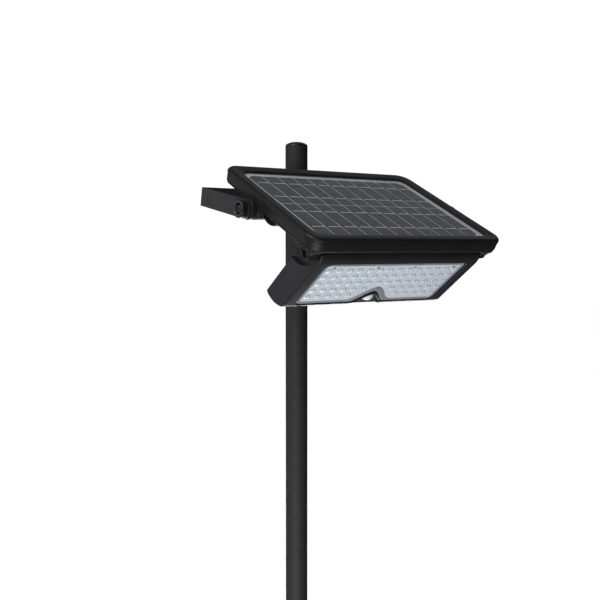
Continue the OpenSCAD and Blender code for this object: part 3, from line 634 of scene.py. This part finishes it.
def build_webs_and_bosses():
    webs = Part("panel_housing", at=HEAD, name="side_webs")
    for s, axis in SIDES:
        webs.lathe([
            (0.01, 0), (WEB_R - 2, 0), (WEB_R - 0.6, 1), (WEB_R, 2.4), (WEB_R, 12.6), (WEB_R - 0.6, 14),
            (WEB_R - 2, 15), (0.01, 15),
        ], place=at(s * WEB_X, WEB_Y, WEB_Z, axis), steps=120)
    block = [(-260, 60), (260, 60), (260, 200), (-260, 200)]
    above = loft_cutter(HEAD, [[(x, y, z) for x, y in block] for z in (-27, 60)])
    # the webs are painted near-black: painted shade, as they sit in shadow under the housing's side
    webs.done(paint="painted_shade_black", cutters=[above])

    bosses = Part("panel_housing", at=HEAD, name="pivot_bosses")
    for s, axis in SIDES:
        bosses.lathe([(0.01, 0), (9.2, 0), (10, 0.8), (10, 12), (0.01, 12)],
                     place=at(s * EAR_BOSS_X, HINGE_U, -HINGE_D, axis))
        bosses.lathe([
            (0.01, 0), (19.6, 0), (20, 1), (20, 30), (19.4, 31), (18.4, 31.2), (18.4, 33), (19.4, 33.2),
            (20, 34), (20, 42.4), (19.2, 43.4), (17.6, 43.6), (0.01, 43.6),
        ], place=at(s * PIVOT_BOSS_X, PIVOT_U, -PIVOT_D, axis))
    bosses.done()


def build_cover():
    cover = Part("battery_cover", at=HEAD)
    loops = []
    for g, z in [(9, -HEAD_T + 0.05), (0, -HEAD_T), (0, -HEAD_T - 4)]:
        loops.append(rounded(0, COVER_Y, COVER_W - 2 * g, COVER_L - 2 * g, COVER_R - g, z))
    for a in range(15, 91, 15):
        g, drop = 6 * (1 - math.cos(math.radians(a))), 6 * math.sin(math.radians(a))
        loops.append(rounded(0, COVER_Y, COVER_W - 2 * g, COVER_L - 2 * g, COVER_R - g, -HEAD_T - 4 - drop))
    cover.loft(loops)
    cover.done()


def build_pivots():
    knobs, bolts = Part("pivot_knobs", at=HEAD), Part("pivot_bolts", at=HEAD)
    for s, axis in SIDES:
        place = at(s * KNOB_X, PIVOT_U, -PIVOT_D, axis)
        knobs.lathe([
            (4.1, 0), (16.6, 0), (17.5, 0.8), (17.5, 2.6), (15.6, 3.2), (15.6, 4.4), (17.2, 5), (17.5, 5.8),
            (17.5, 10), (17, 11.2), (15.8, 12), (11.6, 12), (10.6, 11.5), (10, 10.6), (10, 4.4), (9.6, 4),
            (4.1, 4),
        ], place=place, closed=True)
        bolts.lathe([
            (3.95, -30), (3.95, 4.1), (6.5, 4.1), (6.5, 9.4), (5.9, 10), (3.6, 10), (3.3, 9.6), (3.2, 6.6),
            (0.01, 6.2),
        ], place=place, steps=48)
    knobs.done()
    bolts.done(paint="cast_black")
    pins = Part("hinge_pins", at=HEAD)
    for s, axis in SIDES:
        pins.lathe([(0.01, -38), (3.9, -38), (3.95, 0), (5.9, 0), (6, 0.4), (6, 2.2), (5.3, 3), (0.01, 3.4)],
                   place=at(s * (RECESS_X + 0.2), HINGE_U, -HINGE_D, axis), steps=40)
    pins.done()


# ---------------------------------------------------------------- the light
def bay_height(x, grow):
    """How deep the bell-shaped bay reaches into the lens at x, the bay widened by grow."""
    half = BAY_W / 2 + grow
    return (BAY_H + grow) * (1 + math.cos(math.pi * x / half)) / 2 if abs(x) < half else 0.0


def lens_outline(inset):
    """The lens, a rounded rectangle with the bay in its far edge, moved in by inset."""
    x1, y0, y1, r = LENS_W / 2 - inset, LENS_Y + inset, LENS_END - inset, LENS_R - inset
    points = arc(x1 - r, y0 + r, r, -90, 0, 8) + arc(x1 - r, y1 - r, r, 0, 90, 8)
    deeper = max(0, inset)
    wider = 1.6 * deeper
    for i in range(33):
        x = (BAY_W / 2 + wider + 4) * (1 - i / 16)
        points.append((x, y1 - bay_height(x, wider) * (BAY_H + deeper) / (BAY_H + wider)))
    points += arc(-x1 + r, y1 - r, r, 90, 180, 8) + arc(-x1 + r, y0 + r, r, 180, 270, 8)
    return points


def lenslet_spots():
    for i in range(LED_COLS):
        for j in range(LED_ROWS):
            x = (i - (LED_COLS - 1) / 2) * LED_PX
            rows_from_end = LED_ROWS - 1 - j
            if rows_from_end > 1 or abs(x) >= (2 - rows_from_end) * LED_PX:
                yield x, LENS_MID + (j - (LED_ROWS - 1) / 2) * LED_PY - 0.5


def lenslet(cx, cy, rings=7, steps=24):
    """Loops for one lenslet: a saddle of two lobes side by side, drawn from its foot to its top."""
    loops = []
    for k in range(rings):
        reach = 1 - k / (rings - 1) * 0.96
        dome = math.sqrt(max(0.0, 1 - reach * reach))
        loop = []
        for i in range(steps):
            a = 2 * math.pi * i / steps
            waist = 1 - 0.16 * math.sin(a) ** 2
            x, y = LOBE_X * math.cos(a) * reach * waist, LOBE_Y * math.sin(a) * reach
            saddle = 1 - 0.42 * math.exp(-((x / 3.2) ** 2))
            loop.append((cx + x, cy + y, LENS_Z + 0.4 - LOBE_H * dome * saddle))
        loops.append(loop)
    return loops


def build_lens():
    part = Part("lens_cover", at=LIGHT)
    face = lens_outline(LENS_BAND + 0.1)
    part.loft([[(x, y, z) for x, y in face] for z in (LENS_Z + LENS_T, LENS_Z)])
    for cx, cy in lenslet_spots():
        part.loft(lenslet(cx, cy))

    band = Part("lens_cover", at=LIGHT, name="lens_band")
    profile = [(0.1, 2.5), (0.1, 0.9), (0.6, 0.2), (1.6, 0.05), (6.4, 0.5), (7.2, 1.2)]
    profile += [(LENS_BAND, 1.3), (LENS_BAND, 2.5)]
    band.loft([[(x, y, LENS_Z + z) for x, y in lens_outline(inset)] for inset, z in profile], closed=True)
    band.done(paint="lens_band")
    part.done(sharp=50)


def light_outline(inset):
    """The light's side view about the hinge, moved in by inset: barrel, rim, heel, end, back."""
    points = arc(0, 0, BARREL_R - inset, 110, 252, 26) + [(4, RIM_Z + inset)]
    points += arc(133.5, RIM_Z + 16, 16 - inset, -90, -70, 5)
    points += arc(HEEL_Y, HEEL_Z, HEEL_R - inset, -48, -6, 22)
    points += arc(166.6, 33.5, 4.6 - inset, -2, 88, 8)
    points += arc(58.2, 36.2, 5.3 - inset, 88.2, 110, 3)
    return points


def bay_loops():
    """The sensor's bay through the rim, its mouth rounded. It is smaller than the lens's bay by the lip."""
    loops = []
    for grow, z in [(1.8, RIM_Z - 1), (1.8, RIM_Z), (0.6, RIM_Z + 0.5), (0, RIM_Z + 1.6), (0, -9.0)]:
        half = BAY_W / 2 + 0.6 * (grow - BAY_LIP)
        top = BAY_H + grow - BAY_LIP
        outline = []
        for i in range(25):
            t = i / 12 - 1
            outline.append((half * t, LENS_END - top * (1 + math.cos(math.pi * t)) / 2))
        outline += [(half, LENS_END + 20), (-half, LENS_END + 20)]
        loops.append([(x, y, z) for x, y in outline])
    return loops


def build_light_shell():
    part = Part("light_housing", at=LIGHT)
    half = LIGHT_W / 2
    ends = [(half - i, 3.5 - d) for i, d in [(0, 0), (0.25, 1.3), (1.0, 2.5), (2.2, 3.25), (3.5, 3.5)]]
    loops = [[(-x, y, z) for y, z in light_outline(inset)] for x, inset in ends]
    loops += [[(x, y, z) for y, z in light_outline(inset)] for x, inset in reversed(ends)]
    part.loft(loops)
    rebate = [(-1.3, RIM_Z - 1), (-1.3, RIM_Z - 0.01), (-0.4, RIM_Z + 0.9), (-0.3, LENS_Z + LENS_T)]
    cutters = [
        loft_cutter(LIGHT, [[(x, y, z) for x, y in lens_outline(inset)] for inset, z in rebate]),
        loft_cutter(LIGHT, bay_loops()),
    ]
    for s, axis in SIDES:
        dish_at = at(s * DISH_X, DISH_Y, DISH_Z, axis)
        cutters.append(lathe_cutter(LIGHT, [(DISH_R, 0), (DISH_R, 14)], dish_at, 120))
        pin_at = at(s * PIN_START, 0, 0, axis)
        cutters.append(lathe_cutter(LIGHT, [(PIN_HOLE_R, 0), (PIN_HOLE_R, 20)], pin_at, 32))
    part.done(cutters=cutters, bevel=0.8, sharp=34, segments=2)


def build_light():
    build_light_shell()
    build_lens()
    dome = Part("pir_dome", at=LIGHT)
    profile = [(PIR_R * math.sin(math.radians(a)) or 0.01, PIR_Z - PIR_R * math.cos(math.radians(a)))
               for a in range(0, 91, 6)]
    dome.lathe(profile + [(15.6, -6.5), (15.6, -5.0), (0.01, -5.0)], place=at(0, PIR_Y, 0))
    dome.done()
    screws = Part("lens_screws", at=LIGHT)
    for x, y in LENS_SCREWS:
        screws.lathe([
            (0.01, 9), (1.5, 9), (1.5, 2), (3, 1.8), (3, 0.7), (2.5, 0.1), (1.3, 0), (1.1, 0.9), (0.01, 1.0),
        ], place=at(x, y, LENS_Z - 0.6), steps=32)
    screws.done()


# ---------------------------------------------------------------- build
build_post()
build_bezel()
build_cells()
build_housing()
build_pivots()
build_light()
from_cad("yoke", 0.7)
from_cad("pole_saddle", 1.0)
for name in ("clamp_nuts", "clamp_washers", "yoke_bolts", "yoke_nuts", "power_button", "button_boot"):
    from_cad(name, 0.4)
for name in ("neck_screws", "clamp_u_bolts", "housing_screws", "cover_screws"):
    from_cad(name, 0.25)
from_cad("pivot_washers", 0.25, paint="cast_black")
from_cad("pole_tube", 0)
for name, node in frame["nodes"].items():
    if not node.hide_render:
        node.data.materials.clear()
        node.data.materials.append(LOOKS[slots[name]])


# ---------------------------------------------------------------- studio
# the camera as fitted: its place in metres, heading in degrees, focal length in millimetres, and how far
# its aim leaves that heading, as slopes
CAMERA_AT = Vector((-1.1195, -1.6360, 2.793))
HEADING = -37.5
FOCAL_MM, SENSOR_MM = 54.54, 36
AIM_RIGHT, AIM_UP = -0.050605, -0.058306
HEAD_AT = (0, -0.3, 2.85)


def area_light(name, place, aim, size, power):
    data = bpy.data.lights.new(name, "AREA")
    data.shape, data.size, data.energy = "DISK", size, power
    obj = bpy.data.objects.new(name, data)
    bpy.context.scene.collection.objects.link(obj)
    obj.location = place
    obj.visible_camera = False
    obj.rotation_euler = (Vector(aim) - Vector(place)).to_track_quat("-Z", "Y").to_euler()


def build_floor():
    bm = bmesh.new()
    bmesh.ops.create_circle(bm, cap_ends=True, radius=60, segments=96)
    mesh = bpy.data.meshes.new("floor")
    bm.to_mesh(mesh)
    bm.free()
    floor = bpy.data.objects.new("floor", mesh)
    bpy.context.scene.collection.objects.link(floor)
    mat = bpy.data.materials.new("floor")
    mat.use_nodes = True
    tree = mat.node_tree
    bsdf = tree.nodes["Principled BSDF"]
    bsdf.inputs["Base Color"].default_value = (0.3, 0.3, 0.3, 1)
    bsdf.inputs["Roughness"].default_value = 0.9
    bsdf.inputs["Specular IOR Level"].default_value = 0.1
    bsdf.inputs["Emission Color"].default_value = (1, 1, 1, 1)
    path = tree.nodes.new("ShaderNodeLightPath")
    spot = tree.nodes.new("ShaderNodeTexCoord")
    far = tree.nodes.new("ShaderNodeVectorMath")
    far.operation = "LENGTH"
    fade = tree.nodes.new("ShaderNodeMapRange")
    fade.inputs["From Min"].default_value, fade.inputs["From Max"].default_value = 0.6, 5.0
    fade.inputs["To Min"].default_value, fade.inputs["To Max"].default_value = 0.8, 1.0
    gain = tree.nodes.new("ShaderNodeMath")
    gain.operation = "MULTIPLY"
    tree.links.new(spot.outputs["Object"], far.inputs[0])
    tree.links.new(far.outputs["Value"], fade.inputs["Value"])
    tree.links.new(fade.outputs["Result"], gain.inputs[0])
    tree.links.new(path.outputs["Is Camera Ray"], gain.inputs[1])
    tree.links.new(gain.outputs[0], bsdf.inputs["Emission Strength"])
    mesh.materials.append(mat)


def build_world():
    world = bpy.data.worlds.new("studio")
    bpy.context.scene.world = world
    world.use_nodes = True
    tree = world.node_tree
    back = tree.nodes["Background"]
    back.inputs["Color"].default_value = (1, 1, 1, 1)
    path = tree.nodes.new("ShaderNodeLightPath")
    level = tree.nodes.new("ShaderNodeMapRange")
    level.inputs["To Min"].default_value = 0.07
    level.inputs["To Max"].default_value = 1.05
    tree.links.new(path.outputs["Is Camera Ray"], level.inputs["Value"])
    tree.links.new(level.outputs["Result"], back.inputs["Strength"])


def build_camera():
    a = math.radians(HEADING)
    forward, right = Vector((-math.sin(a), math.cos(a), 0)), Vector((math.cos(a), math.sin(a), 0))
    up = Vector((0, 0, 1))
    data = bpy.data.cameras.new("camera")
    data.sensor_width, data.lens = SENSOR_MM, FOCAL_MM
    data.clip_start, data.clip_end = 0.05, 200
    cam = bpy.data.objects.new("camera", data)
    bpy.context.scene.collection.objects.link(cam)
    aim = forward + right * AIM_RIGHT + up * AIM_UP
    cam.location = CAMERA_AT
    cam.rotation_euler = aim.to_track_quat("-Z", "Y").to_euler()
    bpy.context.scene.camera = cam


build_world()
build_floor()
# each light: its place, what it points at, its width in metres and its power in watts
area_light("key", (-3.2, -1.0, 5.6), HEAD_AT, 3.0, 150)
area_light("sky", (2.5, 1.7, 5.3), HEAD_AT, 3.4, 6)
area_light("side", (-2.4, 2.2, 3.1), HEAD_AT, 2.6, 13)
area_light("low", (-0.9, -1.1, 0.9), (0, -0.3, 2.72), 1.3, 28)
area_light("back", (1.1, 2.0, 1.4), HEAD_AT, 2.2, 70)
area_light("foot", (-2.2, -2.0, 1.9), (0, 0, 0.3), 1.8, 30)
build_camera()
bpy.context.scene.view_settings.view_transform = "Standard"
bpy.context.scene.view_settings.look = "None"
